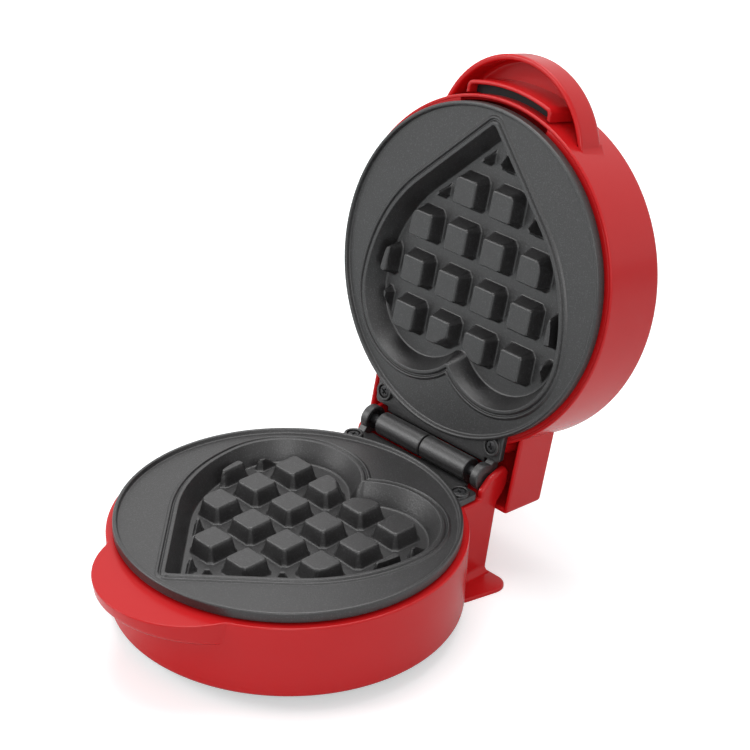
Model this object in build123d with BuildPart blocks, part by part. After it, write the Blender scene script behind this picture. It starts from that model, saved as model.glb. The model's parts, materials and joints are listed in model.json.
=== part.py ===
"""Heart waffle maker: two round red housings on a split-barrel hinge, each with a cast heart mould.

Each half is drawn lying flat with its cooking face up: +Z up, the plate's centre at x = y = 0, the
top of the plate's rim at z = 0, the hinge at +Y and the handle at -Y. The upper half is then turned
over and swung open. The finished model stands on the floor at z = 0, with the middle of its opened
outline over the origin.
"""

import os
from math import acos, asin, atan2, cos, degrees, radians, sin, sqrt

from build123d import *

os.makedirs("parts", exist_ok=True)

# Clearances
running_clearance = 0.08
seat_clearance = 0.15
part_gap = 0.4

# Cooking plates
plate_radius = 62.0
plate_edge = 4.4
rim_width = 1.9
rim_top_width = 1.5
rim_depth = 1.5
ridge_rise = 0.7
ridge_width = 2.2
ridge_slope = 1.0
seat_width = 4.4
casting_floor = 2.6

# Heart mould, with its straight sides at 45 degrees
lobe_radius = 27.4
lobe_x = 20.5
lobe_y = 17.2
side_radius = 61.0
tip_radius = 1.5
cleft_radius = 1.5
least_round = 0.6
mould_depth = 7.7
mould_draft = 4.0

# Block grid in the mould, kept clear of the mould's wall
block_pitch = 18.1
grid_y = -9.4
block_foot = 12.4
block_top = 9.6
block_height = 5.2
block_chamfer = 1.3
block_margin = 6.2
grid_columns = 6
grid_rows = 5

# Hinge
hinge_setback = 7.0
hinge_z = 1.5
barrel_radius = 4.6
barrel_half = 23.2
barrel_split = 0.3
pin_radius = 2.0
knuckle_radius = 5.2
knuckle_inner_x = 27.2
knuckle_width = 3.4
knuckle_root = 1.0
knuckle_hollow_radius = 3.7
knuckle_hollow_depth = 2.4
web_top_z = -2.4
web_thickness = 1.8
open_angle = 101.2

# Rear flange of a plate and its screws
flange_half_width = 32.4
flange_depth = 13.6
flange_setback = 5.4
flange_top_z = -2.0
screw_x = 28.0
screw_setback = 5.5
screw_ring_radius = 3.7
screw_ring_top_z = -0.7
screw_head_radius = 2.5
screw_head_height = 1.5
screw_radius = 1.4
screw_length = 13.0
cross_length = 2.6
cross_width = 0.6
cross_depth = 0.7

# Housings
housing_step = 2.5
housing_draft = 0.5
housing_depth = 33.0
housing_wall = 2.2
base_chamfer = 1.5
lid_chamfer = 2.2
rim_chamfer = 0.6
ledge_width = 2.4
boss_wall = 1.9
boss_length = 13.0

# Front lip of the base
lip_radius = 34.0
lip_reach = 13.9
lip_edge_thickness = 5.6
lip_root_thickness = 10.6
lip_root_depth = 12.5
lip_blend_radius = 7.0
lip_draft = 7.0
lip_chamfer = 1.5

# Rear tower of the base
tower_half_width = 33.3
tower_depth = 14.5
tower_leg_depth = 11.5
tower_shoulder_z = -12.4
tower_foot_setback = 0.4
tower_top_z = -5.0
stop_gap = 0.4
floor_gap = 5.5
foot_plate_thickness = 1.5
foot_plate_half_width = 45.5
foot_plate_front_half_width = 42.0
foot_plate_length = 22.8
foot_plate_widest = 6.8
foot_plate_rear_radius = 6.0
foot_plate_front_radius = 4.0

# Hooked cheeks of the tower: how far they reach, and their outline in shares of that
cheek_thickness = 2.4
cheek_reach = 10.0
cheek_outline = [
    (-0.43, -1.29),
    (-0.43, -0.63),
    (-0.40, -0.30),
    (0.01, 0.05),
    (0.50, 0.21),
    (0.75, 0.26),
    (0.90, 0.20),
    (1.00, 0.04),
    (1.00, -0.20),
    (0.95, -0.47),
    (0.73, -0.84),
    (0.50, -1.06),
    (0.26, -1.29),
]

# Rear box of the lid
box_half_width = 38.2
box_reach = 13.3
box_back_reach = 10.9
box_rim_z = -5.6
box_back_z = -24.2
box_wall = 2.0
box_corner_radius = 1.6

# Handle of the lid
handle_radius = 35.0
handle_reach = 15.5
handle_rim_z = -10.0
handle_floor_z = -20.0
handle_back_z = -22.2
handle_wall = 2.2
handle_chamfer = 2.2
slot_gap = 3.5
slot_wall = 1.2
slot_half_width = 18.8
slot_corner_radius = 2.5
slot_end_gap = 1.8
slot_top_z = -5.6
slot_insert_depth = 9.0
window_half_width = 21.5
window_lip = 1.3

# Bottom cover, feet and cord bush
cover_thickness = 2.2
cover_screw_margin = 3.0
cover_screw_count = 3
cover_screw_angle = 30.0
cover_boss_radius = 4.2
cover_boss_length = 13.0
foot_radius = 6.5
foot_x = 34.0
foot_y = -34.0
foot_pin_radius = 1.8
foot_pin_bulge = 2.4
vent_length = 22.0
vent_width = 2.4
vent_pitch = 6.0
vent_count = 5
bush_radius = 4.2
bush_flange_radius = 6.2
bush_flange_thickness = 1.6
bush_bore_radius = 2.9
bush_z = -27.0

# Heating parts
element_ring_radius = 34.0
element_width = 4.6
element_gap_angle = 34.0
element_leg_length = 6.6
bead_radius = 2.6
bead_length = 2.5
terminal_radius = 1.5
terminal_length = 3.0
shield_radius = 51.0
shield_thickness = 0.6
shield_z = -19.6
shield_leg_gap = 1.0
shield_hole_radius = 12.0
post_ring_radius = 46.0
post_radius = 3.0
post_count = 3
post_start_angle = 30.0
small_screw_radius = 1.3
small_head_radius = 2.6
small_head_height = 1.4
small_screw_bite = 3.6
thermostat_radius = 8.2
thermostat_cap_radius = 6.4
thermostat_cap_height = 4.4
strap_half_length = 12.0
strap_width = 16.0
strap_thickness = 0.8
strap_post_radius = 2.4
strap_drop = 2.6
blade_x = 3.2
blade_width = 4.8
blade_thickness = 0.8
blade_length = 5.0
fuse_y = -21.0
fuse_radius = 1.9
fuse_length = 11.0
sleeve_radius = 2.6
sleeve_length = 26.0
clip_width = 5.0
clip_thickness = 0.8
clip_foot_length = 3.6
terminal_block_x = 17.0
terminal_block_setback = 4.6
terminal_block_length = 16.0
terminal_block_depth = 6.0
terminal_block_height = 8.0
terminal_bore_width = 3.6
terminal_bore_pitch = 7.0
lead_radius = 1.2
lead_drop = 2.0

# Pieces out of sight are drawn with few sides
screw_sides = 6
post_sides = 8
tube_sides = 12

# Indicator lamp
lens_radius = 3.4
lens_flange_radius = 4.4
lens_proud = 1.0
lens_y = -50.0
lamp_radius = 2.3
lamp_length = 5.5
holder_radius = 3.9
holder_bore_radius = 2.7
holder_length = 7.5

# Heights, places and sizes that follow from the ones above
housing_radius = plate_radius + housing_step
annulus_z = -rim_depth
ridge_z = annulus_z + ridge_rise
mould_floor_z = ridge_z - mould_depth
casting_foot_z = mould_floor_z - casting_floor
seat_z = -plate_edge
boss_radius = plate_radius - seat_width
block_draft = (block_foot - block_top) / 2
element_top_z = casting_foot_z - seat_clearance
element_z = element_top_z - element_width / 2
element_leg_z = element_z - element_leg_length
side_centre_x = lobe_x + lobe_radius - side_radius
hinge_y = plate_radius + hinge_setback
barrel_bore_radius = pin_radius + running_clearance
knuckle_outer_x = knuckle_inner_x + knuckle_width
pin_half_length = knuckle_outer_x - seat_clearance
flange_end_y = hinge_y - flange_setback
screw_y = flange_end_y - screw_setback
screw_hole_radius = screw_radius + seat_clearance
small_hole_radius = small_screw_radius + seat_clearance
housing_back_z = -housing_depth
housing_back_radius = housing_radius - housing_draft
inner_radius = housing_radius - housing_wall
inner_back_radius = housing_back_radius - housing_wall
ledge_radius = inner_radius - ledge_width
cavity_top_z = seat_z - housing_wall
cover_z = housing_back_z + cover_thickness
cover_radius = inner_back_radius - part_gap
floor_z = housing_back_z - floor_gap
lip_centre_y = lip_radius - housing_radius - lip_reach
lip_back_y = lip_root_depth - housing_radius
tower_front_y = housing_radius - tower_depth
tower_leg_y = housing_radius - tower_leg_depth
tower_foot_y = hinge_y + tower_foot_setback
terminal_block_y = hinge_y - terminal_block_setback
tower_inner = tower_half_width - housing_wall
box_end_y = hinge_y + box_reach
box_back_end_y = hinge_y + box_back_reach
handle_centre_y = handle_radius - housing_radius - handle_reach
slot_inner_radius = housing_radius + slot_gap
slot_outer_radius = slot_inner_radius + slot_wall
strap_z = casting_foot_z - strap_drop
cap_z = strap_z - thermostat_cap_height
handle_plane = Plane(origin=(0, handle_centre_y, 0), x_dir=(1, 0, 0), z_dir=(0, -1, 0))


def ring_of(radius, count, start_angle):
    """Points spaced evenly round a circle."""
    turns = [radians(start_angle + 360 * step / count) for step in range(count)]
    return [(radius * cos(turn), radius * sin(turn)) for turn in turns]


plate_screw_places = [(-screw_x, screw_y), (screw_x, screw_y)]
cover_screw_places = ring_of(cover_radius - cover_screw_margin, cover_screw_count, cover_screw_angle)
foot_places = [(-foot_x, foot_y), (foot_x, foot_y)]
post_places = ring_of(post_ring_radius, post_count, post_start_angle)
strap_places = [(-strap_half_length, 0), (strap_half_length, 0)]
cheek_points = [(hinge_y + cheek_reach * y, hinge_z + cheek_reach * z) for y, z in cheek_outline]

# The lid stops where its rear box meets the tower, so the tower's stop face leans with the open lid
lean = radians(open_angle)
stop_reach = hinge_z - box_rim_z - stop_gap


def stop_y(z):
    """Where the tower's stop face is at a height."""
    along = (hinge_z + stop_reach * cos(lean) - z) / sin(lean)
    return hinge_y + along * cos(lean) + stop_reach * sin(lean)


def tower_y(z):
    """Where the tower's rear face is below the shoulder."""
    share = (tower_shoulder_z - z) / (tower_shoulder_z - floor_z)
    return stop_y(tower_shoulder_z) + share * (tower_foot_y - stop_y(tower_shoulder_z))


def heart(inset):
    """The mould's outline, moved in by inset."""
    lobe = lobe_radius - inset
    side = side_radius - inset
    tip = max(tip_radius - inset, least_round)
    cleft = max(cleft_radius + inset, least_round)
    tip_y = lobe_y - side_radius * sqrt(2) - side_centre_x + inset * sqrt(2)
    cleft_y = lobe_y + sqrt((lobe + cleft) ** 2 - lobe_x**2)
    cleft_turn = degrees(acos(lobe_x / (lobe + cleft)))
    shoulder = (side_centre_x + side / sqrt(2), lobe_y - side / sqrt(2))
    with BuildSketch(mode=Mode.PRIVATE) as outline:
        with BuildLine():
            CenterArc((0, tip_y + tip * sqrt(2)), tip, -90, 45)
            Line((tip / sqrt(2), tip_y + tip / sqrt(2)), shoulder)
            CenterArc((side_centre_x, lobe_y), side, -45, 45)
            CenterArc((lobe_x, lobe_y), lobe, 0, 180 - cleft_turn)
            CenterArc((0, cleft_y), cleft, -90, 90 - cleft_turn)
            mirror(about=Plane.YZ)
        make_face()
    return outline.sketch


def small_screws(face_z, grip, places):
    """Screws driven upwards from a face, their heads below it."""
    with BuildPart() as screws:
        with BuildSketch(Plane.XY.offset(face_z)):
            with Locations(*places):
                RegularPolygon(small_head_radius, screw_sides)
        extrude(amount=-small_head_height)
        with BuildSketch(Plane.XY.offset(face_z)):
            with Locations(*places):
                RegularPolygon(small_screw_radius, screw_sides)
        extrude(amount=grip + small_screw_bite - part_gap)
    return screws


# The blocks that print the waffle's grid, cut off short of the mould's wall
with BuildPart() as blocks:
    with BuildSketch(Plane.XY.offset(mould_floor_z)):
        with Locations((0, grid_y)):
            with GridLocations(block_pitch, block_pitch, grid_columns, grid_rows):
                with BuildSketch(mode=Mode.PRIVATE) as foot:
                    Rectangle(block_foot, block_foot)
                    chamfer(foot.vertices(), block_chamfer)
                add(foot.sketch)
    extrude(amount=block_height, taper=degrees(atan2(block_draft, block_height)))
    with BuildSketch(Plane.XY.offset(mould_floor_z)):
        add(heart(block_margin))
    with BuildSketch(Plane.XY.offset(mould_floor_z + block_height)):
        add(heart(block_margin + block_draft))
    loft(ruled=True, mode=Mode.INTERSECT)

# Cooking plate: the same casting serves both halves
with BuildPart() as cooking_plate:
    with BuildSketch(Plane.XZ):
        with BuildLine():
            Polyline(
                (0, annulus_z),
                (plate_radius - rim_width, annulus_z),
                (plate_radius - rim_top_width, 0),
                (plate_radius, 0),
                (plate_radius, seat_z),
                (boss_radius, seat_z),
                (boss_radius, casting_foot_z),
                (0, casting_foot_z),
                close=True,
            )
        make_face()
    revolve(axis=Axis.Z)

    # Rear flange with its screw rings, the barrel half on its web, and the knuckle at the other end
    with BuildSketch(Plane.XY.offset(seat_z)):
        with Locations((0, flange_end_y - flange_depth / 2)):
            Rectangle(2 * flange_half_width, flange_depth)
        Circle(boss_radius, mode=Mode.SUBTRACT)
    extrude(amount=flange_top_z - seat_z)
    with BuildSketch(Plane.XY.offset(flange_top_z)):
        with Locations(*plate_screw_places):
            Circle(screw_ring_radius)
    extrude(amount=screw_ring_top_z - flange_top_z)
    web_front_y = plate_radius - rim_width
    with BuildSketch(Plane.YZ.offset(barrel_split)):
        with Locations((hinge_y, hinge_z)):
            Circle(barrel_radius)
        with Locations(((web_front_y + hinge_y) / 2, web_top_z - web_thickness / 2)):
            Rectangle(hinge_y - web_front_y, web_thickness)
    extrude(amount=barrel_half - barrel_split)
    with BuildSketch(Plane.YZ.offset(-knuckle_inner_x)):
        with Locations((hinge_y, hinge_z)):
            Circle(knuckle_radius)
        with BuildLine():
            Polyline(
                (flange_end_y - knuckle_root, seat_z),
                (hinge_y - knuckle_radius + knuckle_root, seat_z),
                (hinge_y, hinge_z - knuckle_radius + knuckle_root),
                (hinge_y, hinge_z),
                (flange_end_y - knuckle_root, flange_top_z),
                close=True,
            )
        make_face()
    extrude(amount=-knuckle_width)

    # Raised ridge round the mould, then the mould itself and its blocks
    with BuildSketch(Plane.XY.offset(annulus_z)):
        add(heart(-ridge_width - ridge_slope))
    with BuildSketch(Plane.XY.offset(ridge_z)):
        add(heart(-ridge_width))
    loft(ruled=True)
    with BuildSketch(Plane.XY.offset(ridge_z)):
        add(heart(0))
    with BuildSketch(Plane.XY.offset(mould_floor_z)):
        add(heart(mould_draft))
    loft(ruled=True, mode=Mode.SUBTRACT)
    add(blocks.part)

    # Posts for the heat shield and the strap
    with BuildSketch(Plane.XY.offset(casting_foot_z)):
        with Locations(*post_places):
            RegularPolygon(post_radius, post_sides)
    extrude(amount=shield_z - casting_foot_z)
    with BuildSketch(Plane.XY.offset(casting_foot_z)):
        with Locations(*strap_places):
            RegularPolygon(strap_post_radius, post_sides)
    extrude(amount=-strap_drop)

    # Holes for the hinge pin and the screws
    with BuildSketch(Plane.YZ.offset(-knuckle_outer_x)):
        with Locations((hinge_y, hinge_z)):
            Circle(barrel_bore_radius)
    extrude(amount=2 * knuckle_outer_x, mode=Mode.SUBTRACT)
    with BuildSketch(Plane.YZ.offset(-knuckle_inner_x)):
        with Locations((hinge_y, hinge_z)):
            Circle(knuckle_hollow_radius)
    extrude(amount=-knuckle_hollow_depth, mode=Mode.SUBTRACT)
    with Locations(*[(x, y, screw_ring_top_z) for x, y in plate_screw_places]):
        CounterBoreHole(
            screw_hole_radius,
            screw_head_radius + seat_clearance,
            screw_head_height,
            depth=screw_length,
        )
    with BuildSketch(Plane.XY.offset(shield_z)):
        with Locations(*post_places):
            RegularPolygon(small_hole_radius, screw_sides)
    extrude(amount=small_screw_bite, mode=Mode.SUBTRACT)
    with BuildSketch(Plane.XY.offset(strap_z)):
        with Locations(*strap_places):
            RegularPolygon(small_hole_radius, screw_sides)
    extrude(amount=small_screw_bite, mode=Mode.SUBTRACT)

# Plate screws, with cross recesses
with BuildPart() as plate_screws:
    with BuildSketch(Plane.XY.offset(screw_ring_top_z)):
        with Locations(*plate_screw_places):
            Circle(screw_head_radius)
    extrude(amount=-screw_head_height)
    with BuildSketch(Plane.XY.offset(screw_ring_top_z)):
        with Locations(*plate_screw_places):
            Circle(screw_radius)
    extrude(amount=-screw_length)
    with BuildSketch(Plane.XY.offset(screw_ring_top_z)):
        with Locations(*plate_screw_places):
            Rectangle(cross_length, cross_width)
            Rectangle(cross_width, cross_length)
    extrude(amount=-cross_depth, mode=Mode.SUBTRACT)

# Hinge pin, kept from sliding out by the base's two cheeks
with BuildPart() as hinge_pin:
    with BuildSketch(Plane.YZ.offset(-pin_half_length)):
        with Locations((hinge_y, hinge_z)):
            Circle(pin_radius)
    extrude(amount=2 * pin_half_length)

# Base housing: a round drum that flows out into a front lip and grows a rear tower
drum_reach = housing_radius + lip_blend_radius
lip_blend_y = (drum_reach**2 - (lip_radius + lip_blend_radius) ** 2 + lip_centre_y**2) / (2 * lip_centre_y)
blend_centre = (sqrt(drum_reach**2 - lip_blend_y**2), lip_blend_y)
lip_turn = degrees(atan2(lip_blend_y - lip_centre_y, blend_centre[0]))
drum_turn = degrees(atan2(lip_blend_y, blend_centre[0]))
with BuildPart() as lip:
    with BuildSketch(Plane.XY.offset(seat_z)):
        with BuildLine():
            CenterArc((0, lip_centre_y), lip_radius, -90, 90 + lip_turn)
            CenterArc(blend_centre, lip_blend_radius, 180 + lip_turn, drum_turn - lip_turn)
            CenterArc((0, 0), housing_radius, drum_turn, -drum_turn)
            Line((housing_radius, 0), (0, 0))
            mirror(about=Plane.YZ)
        make_face()
    extrude(amount=-lip_root_thickness, taper=lip_draft)
    with BuildSketch(Plane.YZ):
        with BuildLine():
            Polyline(
                (lip_centre_y - lip_radius, seat_z),
                (lip_centre_y - lip_radius, seat_z - lip_edge_thickness),
                (lip_back_y, seat_z - lip_root_thickness),
                (lip_back_y, seat_z),
                close=True,
            )
        make_face()
    extrude(amount=housing_radius, both=True, mode=Mode.INTERSECT)
    lip_top = lip.faces().sort_by(Axis.Z)[-1]
    chamfer(lip_top.edges().filter_by(GeomType.LINE, reverse=True), rim_chamfer)
    lip_underside = lip.faces().filter_by(GeomType.PLANE).sort_by(Axis.Z)[0]
    chamfer(lip_underside.edges().filter_by(GeomType.LINE, reverse=True), lip_chamfer)

with BuildPart() as base_housing:
    with BuildSketch(Plane.XZ):
        with BuildLine():
            Polyline(
                (0, housing_back_z),
                (0, seat_z),
                (housing_radius - rim_chamfer, seat_z),
                (housing_radius, seat_z - rim_chamfer),
                (housing_back_radius, housing_back_z + base_chamfer),
                (housing_back_radius - base_chamfer, housing_back_z),
                close=True,
            )
        make_face()
    revolve(axis=Axis.Z)
    add(lip.part)
    with BuildSketch(Plane.YZ.offset(-tower_half_width)):
        with BuildLine():
            Polyline(
                (tower_front_y, tower_top_z),
                (stop_y(tower_top_z), tower_top_z),
                (stop_y(tower_shoulder_z), tower_shoulder_z),
                (tower_foot_y, floor_z),
                (tower_leg_y, floor_z),
                (tower_leg_y, housing_back_z),
                (tower_front_y, housing_back_z),
                close=True,
            )
        make_face()
    extrude(amount=2 * tower_half_width)

    # Room for the plate and its heating parts
    with BuildSketch(Plane.XZ):
        with BuildLine():
            Polyline(
                (0, seat_z),
                (ledge_radius, seat_z),
                (ledge_radius, cavity_top_z),
                (inner_radius, cavity_top_z),
                (inner_back_radius, housing_back_z),
                (0, housing_back_z),
                close=True,
            )
        make_face()
    revolve(axis=Axis.Z, mode=Mode.SUBTRACT)

    # The tower is hollow above its floor and open below it
    inner_top_z = tower_top_z - housing_wall
    with BuildSketch(Plane.YZ.offset(-tower_inner)):
        with BuildLine():
            Polyline(
                (tower_front_y, inner_top_z),
                (stop_y(inner_top_z) - housing_wall, inner_top_z),
                (stop_y(tower_shoulder_z) - housing_wall, tower_shoulder_z),
                (tower_y(cover_z) - housing_wall, cover_z),
                (tower_front_y, cover_z),
                close=True,
            )
        make_face()
        with BuildLine():
            Polyline(
                (tower_front_y, housing_back_z),
                (tower_y(housing_back_z) - housing_wall, housing_back_z),
                (tower_foot_y - housing_wall, floor_z),
                (tower_front_y, floor_z),
                close=True,
            )
        make_face()
    extrude(amount=2 * tower_inner, mode=Mode.SUBTRACT)

    # Hooked cheeks that stand inside the lid's rear box
    for side in (-1, 1):
        with BuildSketch(Plane.YZ.offset(side * (tower_half_width - cheek_thickness))):
            with BuildLine():
                Polyline(*cheek_points, close=True)
            make_face()
        extrude(amount=side * cheek_thickness)

    # Foot plates beside the tower, a little wider towards the rear
    foot_plate_end_y = tower_foot_y + part_gap
    with BuildSketch(Plane.XY.offset(floor_z)) as foot_plates:
        with BuildLine():
            Polyline(
                (tower_inner, foot_plate_end_y - foot_plate_length),
                (foot_plate_front_half_width, foot_plate_end_y - foot_plate_length),
                (foot_plate_half_width, foot_plate_end_y - foot_plate_widest),
                (foot_plate_half_width, foot_plate_end_y),
                (tower_inner, foot_plate_end_y),
                close=True,
            )
        make_face()
        outer = foot_plates.vertices().sort_by(Axis.X)[-3:].sort_by(Axis.Y)
        fillet(outer[0], foot_plate_front_radius)
        outer = foot_plates.vertices().group_by(Axis.X)[-1].sort_by(Axis.Y)
        fillet(outer[-1], foot_plate_rear_radius)
        mirror(about=Plane.YZ)
    extrude(amount=foot_plate_thickness)

    # Bosses for the plate screws and the cover screws
    with BuildSketch(Plane.XY.offset(seat_z)):
        with Locations(*plate_screw_places):
            Circle(screw_hole_radius + boss_wall)
    extrude(amount=-boss_length)
    with BuildSketch(Plane.XY.offset(cover_z)):
        with Locations(*cover_screw_places):
            RegularPolygon(cover_boss_radius, post_sides)
    extrude(amount=cover_boss_length)
    with BuildSketch(Plane.XY.offset(seat_z)):
        with Locations(*plate_screw_places):
            Circle(screw_hole_radius)
    extrude(amount=-boss_length, mode=Mode.SUBTRACT)
    with BuildSketch(Plane.XY.offset(cover_z)):
        with Locations(*cover_screw_places):
            RegularPolygon(small_hole_radius, screw_sides)
    extrude(amount=small_screw_bite, mode=Mode.SUBTRACT)

    # Hole for the cord bush, square to the leaning rear face
    fall = tower_shoulder_z - floor_z
    back_off = stop_y(tower_shoulder_z) - tower_foot_y
    rear_plane = Plane(origin=(0, tower_y(bush_z), bush_z), x_dir=(1, 0, 0), z_dir=(0, fall, -back_off))
    with BuildSketch(rear_plane):
        Circle(bush_radius + seat_clearance)
    extrude(amount=-2 * housing_wall, mode=Mode.SUBTRACT)

# Bottom cover, with vents and holes for its screws and the feet's pins
with BuildPart() as bottom_cover:
    with BuildSketch(Plane.XY.offset(housing_back_z)):
        Circle(cover_radius)
        with Locations(*foot_places):
            RegularPolygon(foot_pin_radius + seat_clearance, screw_sides, mode=Mode.SUBTRACT)
        with Locations(*cover_screw_places):
            RegularPolygon(small_hole_radius, screw_sides, mode=Mode.SUBTRACT)
        with GridLocations(0, vent_pitch, 1, vent_count):
            Rectangle(vent_length, vent_width, mode=Mode.SUBTRACT)
    extrude(amount=cover_thickness)

bottom_cover_screws = small_screws(housing_back_z, cover_thickness, cover_screw_places)

# Rubber feet: the pin's bulge keeps each one in the cover
with BuildPart() as rubber_feet:
    with BuildSketch(Plane.XY.offset(floor_z)):
        with Locations(*foot_places):
            Circle(foot_radius)
    extrude(amount=housing_back_z - floor_z)
    with BuildSketch(Plane.XY.offset(housing_back_z)):
        with Locations(*foot_places):
            RegularPolygon(foot_pin_radius, screw_sides)
    extrude(amount=cover_thickness)
    with BuildSketch(Plane.XY.offset(cover_z)):
        with Locations(*foot_places):
            RegularPolygon(foot_pin_bulge, screw_sides)
    extrude(amount=foot_pin_radius)

# Cord bush
with BuildPart() as cord_bush:
    with BuildSketch(rear_plane):
        Circle(bush_flange_radius)
    extrude(amount=bush_flange_thickness)
    with BuildSketch(rear_plane):
        Circle(bush_radius)
    extrude(amount=-housing_wall)
    with BuildSketch(rear_plane.offset(bush_flange_thickness)):
        Circle(bush_bore_radius)
    extrude(amount=-bush_flange_thickness - housing_wall, mode=Mode.SUBTRACT)


def slot_outline(radius, half_width, corner_radius):
    """The slot's outline in plan: an arc between two straight ends, its outer corners rounded."""
    with BuildSketch(mode=Mode.PRIVATE) as outline:
        Circle(radius)
        with Locations((0, -slot_inner_radius)):
            Rectangle(2 * half_width, slot_inner_radius, mode=Mode.INTERSECT)
        fillet(outline.vertices().sort_by(Axis.Y)[:2], corner_radius)
    return outline.sketch


# Lid housing: the drum closed at its back, with a dished handle and an open rear box
with BuildPart() as handle:
    with BuildSketch(handle_plane):
        with BuildLine():
            Polyline(
                (0, handle_back_z),
                (0, handle_floor_z),
                (handle_radius - handle_wall, handle_floor_z),
                (handle_radius - handle_wall, handle_rim_z),
                (handle_radius, handle_rim_z),
                (handle_radius, handle_back_z + handle_chamfer),
                (handle_radius - handle_chamfer, handle_back_z),
                close=True,
            )
        make_face()
    revolve(axis=Axis((0, handle_centre_y, 0), (0, 0, 1)))
    with BuildSketch(Plane.XY.offset(handle_floor_z)):
        slot_hollow = slot_outline(slot_inner_radius, slot_half_width, slot_corner_radius - slot_wall)
        add(slot_outline(slot_outer_radius, slot_half_width + slot_wall, slot_corner_radius))
        add(slot_hollow, mode=Mode.SUBTRACT)
        Circle(housing_radius + slot_end_gap, mode=Mode.SUBTRACT)
    extrude(amount=slot_top_z - handle_floor_z)
    with BuildSketch(Plane.XY.offset(handle_back_z)):
        Circle(housing_radius - housing_wall / 2)
    extrude(amount=slot_top_z - handle_back_z, mode=Mode.SUBTRACT)

with BuildPart() as rear_box:
    with BuildSketch(Plane.YZ.offset(-box_half_width)):
        with BuildLine():
            Polyline(
                (tower_front_y, box_rim_z),
                (box_end_y, box_rim_z),
                (box_back_end_y, box_back_z),
                (tower_front_y, box_back_z),
                close=True,
            )
        make_face()
    extrude(amount=2 * box_half_width)
    end_face = rear_box.faces().sort_by(Axis.Y)[-1]
    fillet(end_face.edges().filter_by(Axis.X, reverse=True), box_corner_radius)
    with BuildSketch(Plane.YZ.offset(-box_half_width + box_wall)):
        with BuildLine():
            Polyline(
                (tower_front_y, box_rim_z),
                (box_end_y - box_wall, box_rim_z),
                (box_back_end_y - box_wall, box_back_z + box_wall),
                (tower_front_y, box_back_z + box_wall),
                close=True,
            )
        make_face()
    extrude(amount=2 * (box_half_width - box_wall), mode=Mode.SUBTRACT)
    with BuildSketch(Plane.XY.offset(seat_z)):
        with Locations(*plate_screw_places):
            Circle(screw_hole_radius + boss_wall)
    extrude(amount=-boss_length)
    with BuildSketch(Plane.XY.offset(box_back_z)):
        Circle(housing_radius - housing_wall / 2)
    extrude(amount=seat_z - box_back_z, mode=Mode.SUBTRACT)

with BuildPart() as lid_housing:
    with BuildSketch(Plane.XZ):
        with BuildLine():
            Polyline(
                (0, cover_z),
                (inner_back_radius, cover_z),
                (inner_radius, cavity_top_z),
                (ledge_radius, cavity_top_z),
                (ledge_radius, seat_z),
                (housing_radius - rim_chamfer, seat_z),
                (housing_radius, seat_z - rim_chamfer),
                (housing_back_radius, housing_back_z + lid_chamfer),
                (housing_back_radius - lid_chamfer, housing_back_z),
                (0, housing_back_z),
                close=True,
            )
        make_face()
    revolve(axis=Axis.Z)
    add(handle.part)
    add(rear_box.part)
    with BuildSketch(Plane.XY.offset(seat_z)):
        with Locations(*plate_screw_places):
            Circle(screw_hole_radius)
    extrude(amount=-boss_length, mode=Mode.SUBTRACT)

    # The ledge is left out behind the slot, so that only a thin lip stands there
    with BuildSketch(Plane.XY.offset(seat_z)):
        Circle(housing_radius - window_lip)
        with Locations((0, -housing_radius)):
            Rectangle(2 * window_half_width, housing_radius, mode=Mode.INTERSECT)
    extrude(amount=cavity_top_z - seat_z, mode=Mode.SUBTRACT)

    # Lamp holder and the hole for its lens
    with BuildSketch(Plane.XY.offset(cover_z)):
        with Locations((0, lens_y)):
            RegularPolygon(holder_radius, tube_sides)
            RegularPolygon(holder_bore_radius, tube_sides, mode=Mode.SUBTRACT)
    extrude(amount=holder_length)
    with BuildSketch(Plane.XY.offset(housing_back_z)):
        with Locations((0, lens_y)):
            Circle(lens_radius + seat_clearance)
    extrude(amount=cover_thickness, mode=Mode.SUBTRACT)

# Dark insert that closes the slot at the handle
with BuildPart() as slot_insert:
    with BuildSketch(Plane.XY.offset(handle_floor_z)):
        add(
            slot_outline(
                slot_inner_radius - seat_clearance,
                slot_half_width - seat_clearance,
                slot_corner_radius - slot_wall - seat_clearance,
            )
        )
        Circle(housing_radius + seat_clearance, mode=Mode.SUBTRACT)
    extrude(amount=slot_top_z - slot_insert_depth - handle_floor_z)

with BuildPart() as indicator_lens:
    with BuildSketch(Plane.XY.offset(housing_back_z)):
        with Locations((0, lens_y)):
            Circle(lens_flange_radius)
    extrude(amount=-lens_proud)
    with BuildSketch(Plane.XY.offset(housing_back_z)):
        with Locations((0, lens_y)):
            Circle(lens_radius)
    extrude(amount=cover_thickness)

with BuildPart() as indicator_lamp:
    with BuildSketch(Plane.XY.offset(cover_z)):
        with Locations((0, lens_y)):
            RegularPolygon(lamp_radius, tube_sides)
    extrude(amount=lamp_length)

# Heating element: an open ring of flat-sided tube with two legs
half_gap = element_gap_angle / 2
leg_x = element_ring_radius * sin(radians(half_gap))
leg_y = element_ring_radius * cos(radians(half_gap))
leg_places = [(-leg_x, leg_y), (leg_x, leg_y)]
with BuildPart() as heating_element:
    with BuildSketch(Plane.XZ.rotated((0, 0, 90 + half_gap))):
        with Locations((element_ring_radius, element_z)):
            Rectangle(element_width, element_width)
    revolve(axis=Axis.Z, revolution_arc=360 - element_gap_angle)
    with BuildSketch(Plane.XY.offset(element_leg_z)):
        for side in (-1, 1):
            with Locations((side * leg_x, leg_y)):
                Rectangle(element_width, element_width, rotation=-side * half_gap)
    extrude(amount=element_leg_length)

with BuildPart() as element_terminals:
    with BuildSketch(Plane.XY.offset(element_leg_z)):
        with Locations(*leg_places):
            RegularPolygon(bead_radius, tube_sides)
    extrude(amount=-bead_length)
    with BuildSketch(Plane.XY.offset(element_leg_z - bead_length)):
        with Locations(*leg_places):
            RegularPolygon(terminal_radius, screw_sides)
    extrude(amount=-terminal_length)

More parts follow.
